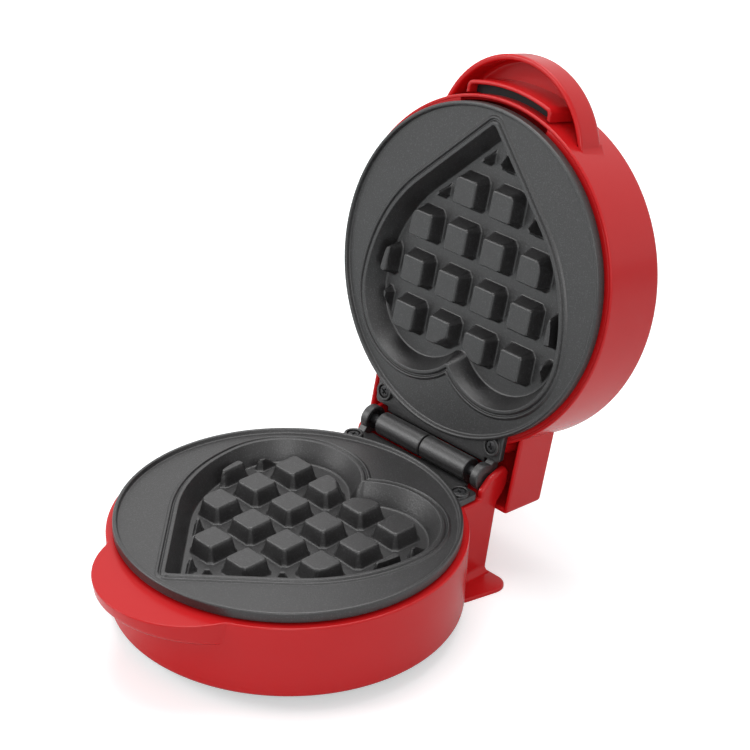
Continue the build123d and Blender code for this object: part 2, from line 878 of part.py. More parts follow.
# Heat shield: a flat sheet under the element, held by three screws
with BuildPart() as heat_shield:
    with BuildSketch(Plane.XY.offset(shield_z)):
        RegularPolygon(shield_radius, tube_sides)
        for side in (-1, 1):
            with Locations((side * leg_x, leg_y)):
                hole_width = element_width + 2 * shield_leg_gap
                Rectangle(hole_width, hole_width, rotation=-side * half_gap, mode=Mode.SUBTRACT)
        with Locations(*post_places):
            RegularPolygon(small_hole_radius, screw_sides, mode=Mode.SUBTRACT)
        RegularPolygon(shield_hole_radius, tube_sides, mode=Mode.SUBTRACT)
    extrude(amount=-shield_thickness)

shield_screws = small_screws(shield_z - shield_thickness, shield_thickness, post_places)

# Thermostat against the plate's middle, with its strap and the strap's screws
with BuildPart() as thermostat:
    with BuildSketch(Plane.XY.offset(casting_foot_z)):
        RegularPolygon(thermostat_radius, tube_sides)
    extrude(amount=-strap_drop)
    with BuildSketch(Plane.XY.offset(strap_z)):
        RegularPolygon(thermostat_cap_radius, tube_sides)
    extrude(amount=-thermostat_cap_height)
    with BuildSketch(Plane.XY.offset(cap_z)):
        with Locations((-blade_x, 0), (blade_x, 0)):
            Rectangle(blade_thickness, blade_width)
    extrude(amount=-blade_length)

with BuildPart() as thermostat_strap:
    with BuildSketch(Plane.XY.offset(strap_z)):
        Rectangle(2 * (strap_half_length + strap_post_radius), strap_width)
        RegularPolygon(thermostat_cap_radius + seat_clearance, tube_sides, mode=Mode.SUBTRACT)
        with Locations(*strap_places):
            RegularPolygon(small_hole_radius, screw_sides, mode=Mode.SUBTRACT)
    extrude(amount=-strap_thickness)

strap_screws = small_screws(strap_z - strap_thickness, strap_thickness, strap_places)

# Thermal fuse in its sleeve, held to the casting by a clip
fuse_z = casting_foot_z - sleeve_radius
with BuildPart() as fuse_sleeve:
    with BuildSketch(Plane.YZ.offset(-sleeve_length / 2)):
        with Locations((fuse_y, fuse_z)):
            RegularPolygon(sleeve_radius, tube_sides)
            RegularPolygon(fuse_radius + seat_clearance, tube_sides, mode=Mode.SUBTRACT)
    extrude(amount=sleeve_length)

with BuildPart() as thermal_fuse:
    with BuildSketch(Plane.YZ.offset(-fuse_length / 2)):
        with Locations((fuse_y, fuse_z)):
            RegularPolygon(fuse_radius, tube_sides)
    extrude(amount=fuse_length)

with BuildPart() as fuse_clip:
    clip_half = sleeve_radius + seat_clearance + clip_thickness
    with BuildSketch(Plane.YZ.offset(-clip_width / 2)):
        with Locations((fuse_y, fuse_z)):
            RegularPolygon(clip_half, tube_sides)
        with Locations((fuse_y, (fuse_z + casting_foot_z) / 2)):
            Rectangle(2 * clip_half, casting_foot_z - fuse_z)
        with Locations((fuse_y, casting_foot_z - clip_thickness / 2)):
            Rectangle(2 * (clip_half + clip_foot_length), clip_thickness)
        with Locations((fuse_y, casting_foot_z + clip_half)):
            Rectangle(2 * (clip_half + clip_foot_length), 2 * clip_half, mode=Mode.SUBTRACT)
        with Locations((fuse_y, fuse_z)):
            RegularPolygon(clip_half - clip_thickness, tube_sides, mode=Mode.SUBTRACT)
        with Locations((fuse_y, (fuse_z + casting_foot_z) / 2)):
            Rectangle(2 * (clip_half - clip_thickness), casting_foot_z - fuse_z, mode=Mode.SUBTRACT)
    extrude(amount=clip_width)

# Terminal block in the tower, and the leads from it
with BuildPart() as terminal_block:
    with BuildSketch(Plane.XY.offset(cover_z)):
        with Locations((terminal_block_x, terminal_block_y)):
            Rectangle(terminal_block_length, terminal_block_depth)
    extrude(amount=terminal_block_height)
    with BuildSketch(Plane.XZ.offset(-terminal_block_y + terminal_block_depth / 2)):
        with Locations((terminal_block_x, cover_z + terminal_block_height / 2)):
            with GridLocations(terminal_bore_pitch, 0, 2, 1):
                Rectangle(terminal_bore_width, terminal_bore_width)
    extrude(amount=-terminal_block_depth, mode=Mode.SUBTRACT)


def lead(*stops):
    """A lead that runs straight from stop to stop."""
    with BuildPart(mode=Mode.PRIVATE) as run:
        for start, end in zip(stops, stops[1:]):
            way = Vector(*end) - Vector(*start)
            with BuildSketch(Plane(origin=start, z_dir=way)):
                RegularPolygon(lead_radius, screw_sides)
            extrude(amount=way.length)
    return run.part


terminal_z = element_leg_z - bead_length - terminal_length
lead_z = terminal_z - lead_drop
blade_z = cap_z - blade_length
block_z = cover_z + terminal_block_height / 2
tail_z = blade_z - lead_drop
bore_front_y = terminal_block_y - terminal_block_depth
near_bore_x = terminal_block_x - terminal_bore_pitch / 2
far_bore_x = terminal_block_x + terminal_bore_pitch / 2
with BuildPart() as base_wiring:
    add(
        lead(
            (leg_x, leg_y, terminal_z),
            (leg_x, leg_y, lead_z),
            (near_bore_x, bore_front_y, block_z),
            (near_bore_x, terminal_block_y, block_z),
        )
    )
    add(
        lead(
            (-leg_x, leg_y, terminal_z),
            (-leg_x, leg_y, lead_z),
            (-blade_x, 0, tail_z),
            (-blade_x, 0, blade_z),
        )
    )
    add(
        lead(
            (blade_x, 0, blade_z),
            (blade_x, 0, tail_z),
            (2 * leg_x, leg_y, block_z),
            (far_bore_x, bore_front_y, block_z),
            (far_bore_x, terminal_block_y, block_z),
        )
    )

with BuildPart() as lid_wiring:
    for side in (-1, 1):
        add(
            lead(
                (side * leg_x, leg_y, terminal_z),
                (side * leg_x, leg_y, lead_z),
                (side * leg_x, lens_y + 2 * holder_radius, lead_z),
                (side * lamp_radius, lens_y + 2 * lamp_radius, lead_z),
            )
        )

# Where the two halves go: the base stands on the floor, the lid is turned over and swung open
hinge_place = Location((0, hinge_y, hinge_z))
swung_open = hinge_place * Location((0, 0, 0), (-open_angle, 0, 0)) * hinge_place.inverse()
turned_over = Location((0, 0, 2 * hinge_z), (0, 180, 0))
opened = swung_open * turned_over
front_y = base_housing.part.bounding_box().min.Y
rear_y = lid_housing.part.moved(opened).bounding_box().max.Y
middle_y = (front_y + rear_y) / 2
on_floor = Location((0, -middle_y, -floor_z))
lid_open = on_floor * opened


def write(piece, name, place):
    """Put a finished piece in its place, label it and write it."""
    placed = piece.part.moved(place)
    placed.label = name
    export_step(placed, f"parts/{name}.step")


write(base_housing, "base_housing", on_floor)
write(bottom_cover, "bottom_cover", on_floor)
write(bottom_cover_screws, "bottom_cover_screws", on_floor)
write(rubber_feet, "rubber_feet", on_floor)
write(cord_bush, "cord_bush", on_floor)
write(terminal_block, "terminal_block", on_floor)
write(base_wiring, "base_wiring", on_floor)
write(hinge_pin, "hinge_pin", on_floor)
write(thermostat, "thermostat", on_floor)
write(thermostat_strap, "thermostat_strap", on_floor)
write(strap_screws, "strap_screws", on_floor)
write(fuse_sleeve, "fuse_sleeve", on_floor)
write(thermal_fuse, "thermal_fuse", on_floor)
write(fuse_clip, "fuse_clip", on_floor)
write(lid_housing, "lid_housing", lid_open)
write(slot_insert, "slot_insert", lid_open)
write(indicator_lens, "indicator_lens", lid_open)
write(indicator_lamp, "indicator_lamp", lid_open)
write(lid_wiring, "lid_wiring", lid_open)
for half, place in (("lower", on_floor), ("upper", lid_open)):
    write(cooking_plate, f"{half}_cooking_plate", place)
    write(plate_screws, f"{half}_plate_screws", place)
    write(heating_element, f"{half}_heating_element", place)
    write(element_terminals, f"{half}_element_terminals", place)
    write(heat_shield, f"{half}_heat_shield", place)
    write(shield_screws, f"{half}_shield_screws", place)

# Closed, the lid leans on past level until the two rims are a small gap apart at the front
closing_drop = 2 * hinge_z - part_gap
closing_turn = open_angle + degrees(asin(closing_drop / (hinge_y + plate_radius)))
print("middle_y", middle_y, "front", front_y, "rear", rear_y, "closing turn", closing_turn)
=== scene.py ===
"""The heart waffle maker as photographed: lid open, red gloss housings, dark non-stick heart moulds."""

import json
import math

import bmesh
import bpy
from mathutils import Matrix, Vector


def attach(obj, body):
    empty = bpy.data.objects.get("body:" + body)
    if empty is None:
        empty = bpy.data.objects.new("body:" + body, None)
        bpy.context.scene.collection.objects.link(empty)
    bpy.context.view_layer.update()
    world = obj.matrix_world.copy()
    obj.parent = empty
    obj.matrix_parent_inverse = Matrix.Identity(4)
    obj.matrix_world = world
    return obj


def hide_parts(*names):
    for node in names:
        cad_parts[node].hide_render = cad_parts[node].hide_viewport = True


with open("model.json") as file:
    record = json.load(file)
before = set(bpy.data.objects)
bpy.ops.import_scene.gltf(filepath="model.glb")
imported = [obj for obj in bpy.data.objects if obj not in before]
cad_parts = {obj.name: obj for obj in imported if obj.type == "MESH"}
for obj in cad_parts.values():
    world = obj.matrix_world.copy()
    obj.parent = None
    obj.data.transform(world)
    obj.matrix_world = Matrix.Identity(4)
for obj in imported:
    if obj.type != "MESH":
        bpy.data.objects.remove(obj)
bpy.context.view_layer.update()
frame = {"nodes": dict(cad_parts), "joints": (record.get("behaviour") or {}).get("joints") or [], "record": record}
MM = 0.001

# Drawing frame of a half lying flat, in millimetres: x = y = z = 0 in the middle of its rim's top
HINGE_Y = 69.0
HINGE_Z = 1.5
OPEN_ANGLE = math.radians(101.2)
hinge = Vector(frame["joints"][0]["pos_m"])
FLAT_TO_ROW = Matrix.Translation((0, hinge.y - HINGE_Y * MM, hinge.z - HINGE_Z * MM))
AT_HINGE = Matrix.Translation((0, HINGE_Y * MM, HINGE_Z * MM))
TURNED_OVER = Matrix.Translation((0, 0, 2 * HINGE_Z * MM)) @ Matrix.Rotation(math.pi, 4, "Y")
SWUNG_OPEN = AT_HINGE @ Matrix.Rotation(-OPEN_ANGLE, 4, "X") @ AT_HINGE.inverted()
LID_TO_ROW = FLAT_TO_ROW @ SWUNG_OPEN @ TURNED_OVER


class Signal:
    """A shader socket that adds its own maths nodes when it is used in a sum."""

    def __init__(self, network, socket):
        self.network = network
        self.socket = socket

    def maths(self, operation, *values):
        return self.network.node("ShaderNodeMath", {"operation": operation}, dict(enumerate(values)))

    def __add__(self, other):
        return self.maths("ADD", self, other)

    def __radd__(self, other):
        return self.maths("ADD", other, self)

    def __sub__(self, other):
        return self.maths("SUBTRACT", self, other)

    def __rsub__(self, other):
        return self.maths("SUBTRACT", other, self)

    def __mul__(self, other):
        return self.maths("MULTIPLY", self, other)

    def __rmul__(self, other):
        return self.maths("MULTIPLY", other, self)

    def above(self, level):
        return self.maths("GREATER_THAN", self, level)

    def clipped(self):
        return self.network.node("ShaderNodeClamp", {}, {"Value": self, "Min": 0.0, "Max": 1.0})


class Network:
    """A tree of shader nodes, made by one call for each node."""

    def __init__(self, tree, last):
        self.tree = tree
        self.tree.nodes.clear()
        self.out = self.tree.nodes.new(last)

    def node(self, kind, settings, values, output=0):
        """A node of a kind, with its settings first and then the values or links of its sockets."""
        made = self.tree.nodes.new(kind)
        for key, value in settings.items():
            setattr(made, key, value)
        for key, value in values.items():
            if isinstance(value, Signal):
                self.tree.links.new(value.socket, made.inputs[key])
            else:
                made.inputs[key].default_value = value
        return Signal(self, made.outputs[output])

    def show(self, shader):
        """Sends a shader to the tree's output."""
        self.tree.links.new(shader.socket, self.out.inputs["Surface"])


class Finish(Network):
    """A material, with the nodes that finishes share. A texture's scale counts features to the metre."""

    def __init__(self, name):
        self.material = bpy.data.materials.new(name)
        self.material.use_nodes = True
        super().__init__(self.material.node_tree, "ShaderNodeOutputMaterial")

    def place(self):
        """Where on the object a point is, in metres, which stays put when the piece moves."""
        return self.node("ShaderNodeTexCoord", {}, {}, "Object")

    def noise(self, scale, detail=3.0, roughness=0.5):
        return self.node(
            "ShaderNodeTexNoise",
            {},
            {"Vector": self.place(), "Scale": scale, "Detail": detail, "Roughness": roughness},
            "Fac",
        )

    def bands(self, direction, scale, distortion=0.0):
        return self.node(
            "ShaderNodeTexWave",
            {"wave_type": "BANDS", "bands_direction": direction},
            {"Vector": self.place(), "Scale": scale, "Distortion": distortion},
            "Fac",
        )

    def mix(self, amount, first, second):
        return self.node("ShaderNodeMix", {"data_type": "RGBA"}, {0: amount, 6: first, 7: second}, 2)

    def bump(self, height, strength, distance):
        return self.node(
            "ShaderNodeBump", {}, {"Height": height, "Strength": strength, "Distance": distance}
        )

    def surface(self, **values):
        """The finished material, from values or links for the sockets that the keywords name."""
        sockets = {}
        for key, value in values.items():
            sockets[key.replace("_", " ").title().replace("Ior", "IOR")] = value
        self.show(self.node("ShaderNodeBsdfPrincipled", {}, sockets))
        return self.material


def colour(red, green, blue):
    return (red, green, blue, 1.0)


def gloss_red():
    """Injection-moulded gloss plastic: faint orange peel, a little unevenness in its gloss."""
    finish = Finish("gloss_red_plastic")
    broad = finish.noise(scale=28.0, detail=2.0)
    peel = finish.noise(scale=420.0, detail=2.0)
    return finish.surface(
        base_color=finish.mix(broad, colour(0.58, 0.010, 0.012), colour(0.54, 0.008, 0.010)),
        roughness=0.2 + 0.08 * finish.noise(scale=60.0, detail=4.0),
        specular_ior_level=0.3,
        normal=finish.bump(peel, strength=0.05, distance=0.0002),
    )


def nonstick():
    """Dark sprayed non-stick coating over a casting: fine speckle and a soft sheen."""
    finish = Finish("nonstick_coating")
    grains = finish.noise(scale=1500.0, roughness=0.75)
    patches = finish.noise(scale=90.0)
    flecks = finish.noise(scale=1900.0, detail=1.0, roughness=0.4).above(0.62)
    ground = finish.mix(patches, colour(0.0125, 0.012, 0.012), colour(0.018, 0.017, 0.0175))
    return finish.surface(
        base_color=finish.mix(flecks * 0.35, ground, colour(0.08, 0.08, 0.084)),
        roughness=0.24 + 0.26 * grains,
        specular_ior_level=0.75,
        normal=finish.bump(grains, strength=0.3, distance=0.0003),
    )


def matte_black():
    """Matt black moulding with a fine spark-eroded grain."""
    finish = Finish("matte_black_plastic")
    grain = finish.noise(scale=1500.0, detail=2.0)
    cloud = finish.noise(scale=50.0)
    return finish.surface(
        base_color=finish.mix(cloud, colour(0.012, 0.012, 0.013), colour(0.02, 0.02, 0.021)),
        roughness=0.5 + 0.15 * grain,
        specular_ior_level=0.2,
        normal=finish.bump(grain, strength=0.25, distance=0.0002),
    )


def plated_steel():
    """Plated sheet steel, a little cloudy."""
    finish = Finish("plated_steel")
    cloud = finish.noise(scale=140.0, detail=4.0)
    return finish.surface(
        base_color=finish.mix(cloud, colour(0.46, 0.46, 0.45), colour(0.6, 0.6, 0.58)),
        metallic=1.0,
        roughness=0.3 + 0.2 * cloud,
    )


def black_steel():
    """Near-black steel, its dark colour painted shade for the pin in the hinge gap's shadow and shared by the
    plate screws, with faint tool marks round the pin.
    """
    finish = Finish("black_steel")
    marks = finish.bands("X", scale=1400.0, distortion=1.5)
    return finish.surface(
        # near-black base colour: painted shade for the pin in the hinge gap's shadow
        base_color=colour(0.05, 0.05, 0.052),
        metallic=0.6,
        roughness=0.32 + 0.12 * marks,
        normal=finish.bump(marks, strength=0.1, distance=0.00005),
    )


def foot_rubber():
    """Soft black rubber."""
    finish = Finish("foot_rubber")
    grain = finish.noise(scale=900.0)
    return finish.surface(
        base_color=finish.mix(grain, colour(0.018, 0.018, 0.018), colour(0.03, 0.03, 0.03)),
        roughness=0.75 + 0.15 * grain,
        normal=finish.bump(grain, strength=0.3, distance=0.0002),
    )


def ceramic():
    """Unglazed white ceramic."""
    finish = Finish("ceramic")
    grain = finish.noise(scale=800.0, detail=4.0)
    return finish.surface(
        base_color=finish.mix(grain, colour(0.7, 0.67, 0.6), colour(0.8, 0.78, 0.72)),
        roughness=0.6 + 0.2 * grain,
        normal=finish.bump(grain, strength=0.2, distance=0.0002),
    )


def lamp_glass():
    """Red tinted lens, moulded clear."""
    finish = Finish("lamp_lens")
    swirl = finish.noise(scale=300.0, detail=2.0)
    return finish.surface(
        base_color=finish.mix(swirl, colour(0.6, 0.05, 0.02), colour(0.7, 0.1, 0.04)),
        roughness=0.08 + 0.06 * swirl,
        coat_weight=0.5,
    )


def glass_fibre():
    """Braided glass-fibre sleeve."""
    finish = Finish("glass_fibre")
    braid = finish.bands("DIAGONAL", scale=700.0)
    return finish.surface(
        base_color=finish.mix(braid, colour(0.55, 0.53, 0.45), colour(0.78, 0.76, 0.68)),
        roughness=0.7 + 0.15 * braid,
        normal=finish.bump(braid, strength=0.4, distance=0.0002),
    )


def lead_insulation():
    """Silicone-covered lead."""
    finish = Finish("lead_insulation")
    haze = finish.noise(scale=220.0)
    return finish.surface(
        base_color=finish.mix(haze, colour(0.68, 0.68, 0.65), colour(0.8, 0.8, 0.77)),
        roughness=0.45 + 0.15 * haze,
    )


finishes = {
    "red_plastic": gloss_red(),
    "nonstick_casting": nonstick(),
    "black_plastic": matte_black(),
    "plated_steel": plated_steel(),
    "black_steel": black_steel(),
    "foot_rubber": foot_rubber(),
    "ceramic": ceramic(),
    "lamp_glass": lamp_glass(),
    "glass_fibre": glass_fibre(),
    "lead_insulation": lead_insulation(),
}
slot_of = {row["node"]: row["material_slot"] for row in frame["record"]["subparts"]}


def dress(piece, slot):
    """Gives a piece the finish that its material slot stands for."""
    piece.data.materials.clear()
    piece.data.materials.append(finishes[slot])


for name, node in frame["nodes"].items():
    dress(node, slot_of[name])


# Drawing tools, all in millimetres and in the drawing frame of a half lying flat
QUARTER_TURN = [math.radians(22.5 * step) for step in range(5)]
CREASE = math.radians(38.0)
SAME_POINT = 0.002


def arc(centre, radius, start, sweep, steps):
    """Points on an arc, both ends included, with its angles in degrees."""
    turns = [math.radians(start + sweep * step / steps) for step in range(steps + 1)]
    return [(centre[0] + radius * math.cos(turn), centre[1] + radius * math.sin(turn)) for turn in turns]


def rounded(corners, closed=True, step=18.0):
    """A line through corners given as (x, y, radius), each turned by an arc of its radius."""
    points = []
    last = len(corners) - 1
    for index, (x, y, radius) in enumerate(corners):
        here = Vector((x, y))
        if radius == 0 or (not closed and index in (0, last)):
            points.append((x, y))
            continue
        back = (Vector(corners[index - 1][:2]) - here).normalized()
        ahead = (Vector(corners[(index + 1) % len(corners)][:2]) - here).normalized()
        half = back.angle(ahead) / 2
        centre = here + (back + ahead).normalized() * (radius / math.sin(half))
        spoke = here + back * (radius / math.tan(half)) - centre
        goal = here + ahead * (radius / math.tan(half)) - centre
        sweep = math.degrees(math.atan2(spoke.x * goal.y - spoke.y * goal.x, spoke.dot(goal)))
        start = math.degrees(math.atan2(spoke.y, spoke.x))
        points.extend(arc(centre, radius, start, sweep, max(2, math.ceil(abs(sweep) / step))))
    return points


def drawn_in(outline, distance):
    """A closed outline moved inwards by a distance."""
    area = sum(
        before[0] * here[1] - here[0] * before[1] for before, here in zip(outline[-1:] + outline, outline)
    )
    way = 1 if area > 0 else -1
    sharpest = 0.2
    moved = []
    for index, (x, y) in enumerate(outline):
        here = Vector((x, y))
        before = (here - Vector(outline[index - 1])).normalized()
        after = (Vector(outline[(index + 1) % len(outline)]) - here).normalized()
        first = Vector((-before.y, before.x)) * way
        second = Vector((-after.y, after.x)) * way
        shift = (first + second) / max(sharpest, 1 + first.dot(second))
        moved.append(tuple(here + shift * distance))
    return moved


def rounded_foot(level, radius):
    """Pairs of (inset, level) up the rounded lower end of a slab."""
    return [(radius * (1 - math.sin(turn)), level + radius * (1 - math.cos(turn))) for turn in QUARTER_TURN]


def rounded_top(level, radius):
    """Pairs of (inset, level) up the rounded upper end of a slab."""
    return [(radius * (1 - math.cos(turn)), level - radius * (1 - math.sin(turn))) for turn in QUARTER_TURN]


def rounded_ends(low, high, low_radius, high_radius):
    """Pairs of (inset, level) that round off both ends of a slab."""
    return rounded_foot(low, low_radius) + rounded_top(high, high_radius)


def flat(x, y, level):
    """Lays an outline drawn from above at a level."""
    return (x, y, level)


def sideways(y, z, x):
    """Lays an outline drawn from the side across the part."""
    return (x, y, z)


def lengthways(x, z, y):
    """Lays an outline drawn from the front along the part."""
    return (x, y, z)


def on_side(side, lay):
    """Lays an outline as another way does, mirrored where side is -1."""

    def laid(first, second, level):
        x, y, z = lay(first, second, level)
        return (side * x, y, z)

    return laid


class Skin:
    """Rings of points joined into one mesh."""

    def __init__(self):
        self.points = []
        self.faces = []

    def rows(self, rows, caps):
        """Joins equal rings of points one to the next, with a cap at either end where wanted."""
        first = len(self.points)
        count = len(rows[0])
        for row in rows:
            self.points.extend(row)
        for start in range(first, first + (len(rows) - 1) * count, count):
            for step in range(count):
                here = start + step
                beside = start + (step + 1) % count
                self.faces.append((here, beside, beside + count, here + count))
        if caps[0]:
            self.faces.append(tuple(range(first + count - 1, first - 1, -1)))
        if caps[1]:
            last = first + (len(rows) - 1) * count
            self.faces.append(tuple(range(last, last + count)))

    def slab(self, outline, pairs, lay=flat):
        """An outline raised through pairs of (inset, level), capped at both ends."""
        rows = [[lay(x, y, level) for x, y in drawn_in(outline, inset)] for inset, level in pairs]
        self.rows(rows, (True, True))

    def turned(self, section, centre=(0, 0), steps=144, lay=flat, closed=False):
        """A section of (radius, level) points turned about an axis through a centre."""
        spokes = arc((0, 0), 1.0, 0, 360, steps)[:-1]
        rows = [
            [lay(centre[0] + radius * x, centre[1] + radius * y, level) for x, y in spokes]
            for radius, level in (section + section[:1] if closed else section)
        ]
        self.rows(rows, (not closed, not closed))

    def absorb(self, mesh):
        """Takes over the faces of a finished mesh."""
        first = len(self.points)
        self.points.extend(tuple(vertex.co / MM) for vertex in mesh.vertices)
        self.faces.extend(tuple(first + index for index in face.vertices) for face in mesh.polygons)

    def mesh(self, name):
        """The rings as a mesh in metres, with points at the same place joined."""
        mesh = bpy.data.meshes.new(name)
        mesh.from_pydata([Vector(point) * MM for point in self.points], [], self.faces)
        shape = bmesh.new()
        shape.from_mesh(mesh)
        bmesh.ops.remove_doubles(shape, verts=shape.verts, dist=SAME_POINT * MM)
        bmesh.ops.recalc_face_normals(shape, faces=shape.faces)
        shape.to_mesh(mesh)
        shape.free()
        return mesh


def in_scene(name, data):
    """A new object that holds the data, linked into the scene."""
    made = bpy.data.objects.new(name, data)
    bpy.context.scene.collection.objects.link(made)
    return made


def carved(mesh, *cutters):
    """A closed mesh with other closed meshes cut out of it."""
    block = in_scene(mesh.name + "_block", mesh)
    tools = []
    for cutter in cutters:
        tool = in_scene(cutter.name, cutter)
        cut = block.modifiers.new(cutter.name, "BOOLEAN")
        cut.operation = "DIFFERENCE"
        cut.solver = "EXACT"
        cut.object = tool
        tools.append(tool)
    bpy.context.view_layer.update()
    result = bpy.data.meshes.new_from_object(block.evaluated_get(bpy.context.evaluated_depsgraph_get()))
    for made in [block, *tools]:
        bpy.data.objects.remove(made)
    return result


def put(skin, name, body, slot, *replaced):
    """A finished piece in its body's place, standing for the CAD nodes it replaces."""
    mesh = skin.mesh(name)
    mesh.transform(FLAT_TO_ROW if body == "base" else LID_TO_ROW)
    for face in mesh.polygons:
        face.use_smooth = True
    mesh.set_sharp_from_angle(angle=CREASE)
    piece = in_scene(name, mesh)
    dress(piece, slot)
    weighted = piece.modifiers.new("weighted_normals", "WEIGHTED_NORMAL")
    weighted.keep_sharp = True
    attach(piece, body)
    if replaced:
        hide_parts(*replaced)


# Radii and levels of the casting, with the top of its rim at level 0
PLATE_R = 62.0
RIM_TOP_R = 60.7
RIM_FOOT_R = 60.2
ANNULUS_R = 59.3
GROOVE_R = 60.2
BOSS_R = 57.6
SEAT = -4.4
ANNULUS = -1.5
RIDGE = -0.8
MOULD_FLOOR = -8.5
CASTING_FOOT = -11.1

# The heart's outline, made of arcs for its sides, its lobes, its tip and the cleft between the lobes
LOBE_R, LOBE_X, LOBE_Y = 27.4, 20.5, 17.2
SIDE_R = 61.0
SIDE_X = LOBE_X + LOBE_R - SIDE_R
TIP_R = CLEFT_R = 1.5
LEAST_R = 0.6
TIP_Y = LOBE_Y - SIDE_R * math.sqrt(2) - SIDE_X
CLEFT_Y = LOBE_Y + math.sqrt((LOBE_R + CLEFT_R) ** 2 - LOBE_X**2)
CLEFT_TURN = math.degrees(math.acos(LOBE_X / (LOBE_R + CLEFT_R)))
MOULD_DRAFT = 4.0
BEAD_FOOT = -3.6

# The grid and its blocks
COLUMNS, ROWS = 6, 5
PITCH = 18.1
GRID_Y = -9.4
BLOCK_HALF = 6.7
BLOCK_DRAFT = 1.7
BLOCK_HEIGHT = 6.1
BLOCK_CORNER = 2.1
BLOCK_EDGE = 0.65
CORNER_FLAT = 1.15
CUT_BLEND = 1.2
CORE_INSET = 1.0
LEAST_CORE = 0.3
FARTHEST_REACH = 12.0
TIP_MARGIN = (6.0, 0.7)
FLANK_MARGIN = (4.7, 0.1)
LOBE_MARGIN = (5.4, 1.0)
CLEFT_MARGIN = (6.2, 1.5)

# Rear flange, hinge parts and screws of the casting
FLANGE_HALF, FLANGE_Y = 32.4, 63.6
TONGUE_HALF, TONGUE_Y = 25.5, 65.5
FLANGE_TOP = -2.0
PIN_HOLE_R = 2.1
BARREL_R = 4.6
BARREL = (0.3, 23.2)
KNUCKLE_R = 5.2
KNUCKLE = (-30.6, -27.2)
RECESS_R, RECESS_DEPTH = 3.7, 2.4
HINGE_STEPS = 56
SCREW_X, SCREW_Y = 28.0, 58.1
SCREW_STEPS = 40


def heart(inset):
    """The mould's outline moved in by inset, always with the same count of points."""
    side = SIDE_R - inset
    lobe = LOBE_R - inset
    tip = max(TIP_R - inset, LEAST_R)
    cleft = max(CLEFT_R + inset, LEAST_R)
    cleft_y = LOBE_Y + math.sqrt((lobe + cleft) ** 2 - LOBE_X**2)
    cleft_turn = math.degrees(math.acos(LOBE_X / (lobe + cleft)))
    tip_y = TIP_Y + inset * math.sqrt(2)
    start = Vector((tip / math.sqrt(2), tip_y + tip / math.sqrt(2)))
    shoulder = Vector((SIDE_X + side / math.sqrt(2), LOBE_Y - side / math.sqrt(2)))
    straight = [tuple(start.lerp(shoulder, step / 24)) for step in range(24)]
    half = (
        arc((0, tip_y + tip * math.sqrt(2)), tip, -90, 45, 6)[:-1]
        + straight
        + arc((SIDE_X, LOBE_Y), side, -45, 45, 28)[:-1]
        + arc((LOBE_X, LOBE_Y), lobe, 0, 180 - cleft_turn, 44)[:-1]
        + arc((0, cleft_y), cleft, -cleft_turn, cleft_turn - 90, 8)
    )
    return half + [(-x, y) for x, y in reversed(half[1:-1])]


def depth_in_heart(x, y):
    """How far a point lies inside the mould's outline."""
    x = abs(x)
    turn = math.degrees(math.atan2(y - LOBE_Y, x - SIDE_X))
    depth = (y - x - TIP_Y) / math.sqrt(2)
    if -45 < turn <= 0:
        depth = min(depth, SIDE_R - math.hypot(x - SIDE_X, y - LOBE_Y))
    if y > LOBE_Y:
        depth = math.hypot(x, y - CLEFT_Y) - CLEFT_R
        if math.degrees(math.atan2(y - LOBE_Y, x - LOBE_X)) < 180 - CLEFT_TURN:
            depth = LOBE_R - math.hypot(x - LOBE_X, y - LOBE_Y)
    return depth


def outside_block(x, y, middle, inset):
    """Distance outside a block drawn in by inset: a soft square, cut along the mould's wall.

    A margin says how far the cut stays from the wall, and what share of the inset it takes.
    """
    across = abs(x - middle[0]) - BLOCK_HALF + BLOCK_CORNER
    along = abs(y - middle[1]) - BLOCK_HALF + BLOCK_CORNER
    square = math.hypot(max(across, 0), max(along, 0)) + min(max(across, along), 0) - BLOCK_CORNER
    corner = (across + along) / math.sqrt(2) - BLOCK_CORNER * math.sqrt(2) + CORNER_FLAT
    square = max(square, corner) + inset
    reach, share = TIP_MARGIN if middle[1] < 0 else FLANK_MARGIN
    if middle[1] > LOBE_Y:
        reach, share = CLEFT_MARGIN if abs(middle[0]) < PITCH else LOBE_MARGIN
    margin = reach - depth_in_heart(x, y) + inset * share
    blend = max(CUT_BLEND - abs(square - margin), 0) / CUT_BLEND
    return max(square, margin) + blend * blend * (CUT_BLEND / 4)


def grid_blocks():
    """The middle of each cell of the grid that holds a block, with the point deepest inside the block."""
    shares = [step / 12 for step in range(-12, 13)]
    for column in range(COLUMNS):
        for row in range(ROWS):
            middle = ((column - (COLUMNS - 1) / 2) * PITCH, GRID_Y + (row - (ROWS - 1) / 2) * PITCH)
            spots = [
                (middle[0] + BLOCK_HALF * across, middle[1] + BLOCK_HALF * along)
                for across in shares
                for along in shares
            ]
            core = min(spots, key=lambda spot: outside_block(*spot, middle, CORE_INSET))
            if outside_block(*core, middle, CORE_INSET) < -LEAST_CORE:
                yield middle, core


def block_reach(middle, core, inset, across, along):
    """How far a block reaches from its core in a direction, found by halving."""
    near, far = 0.0, FARTHEST_REACH
    for _ in range(22):
        reach = (near + far) / 2
        if outside_block(core[0] + reach * across, core[1] + reach * along, middle, inset) < 0:
            near = reach
        else:
            far = reach
    return near


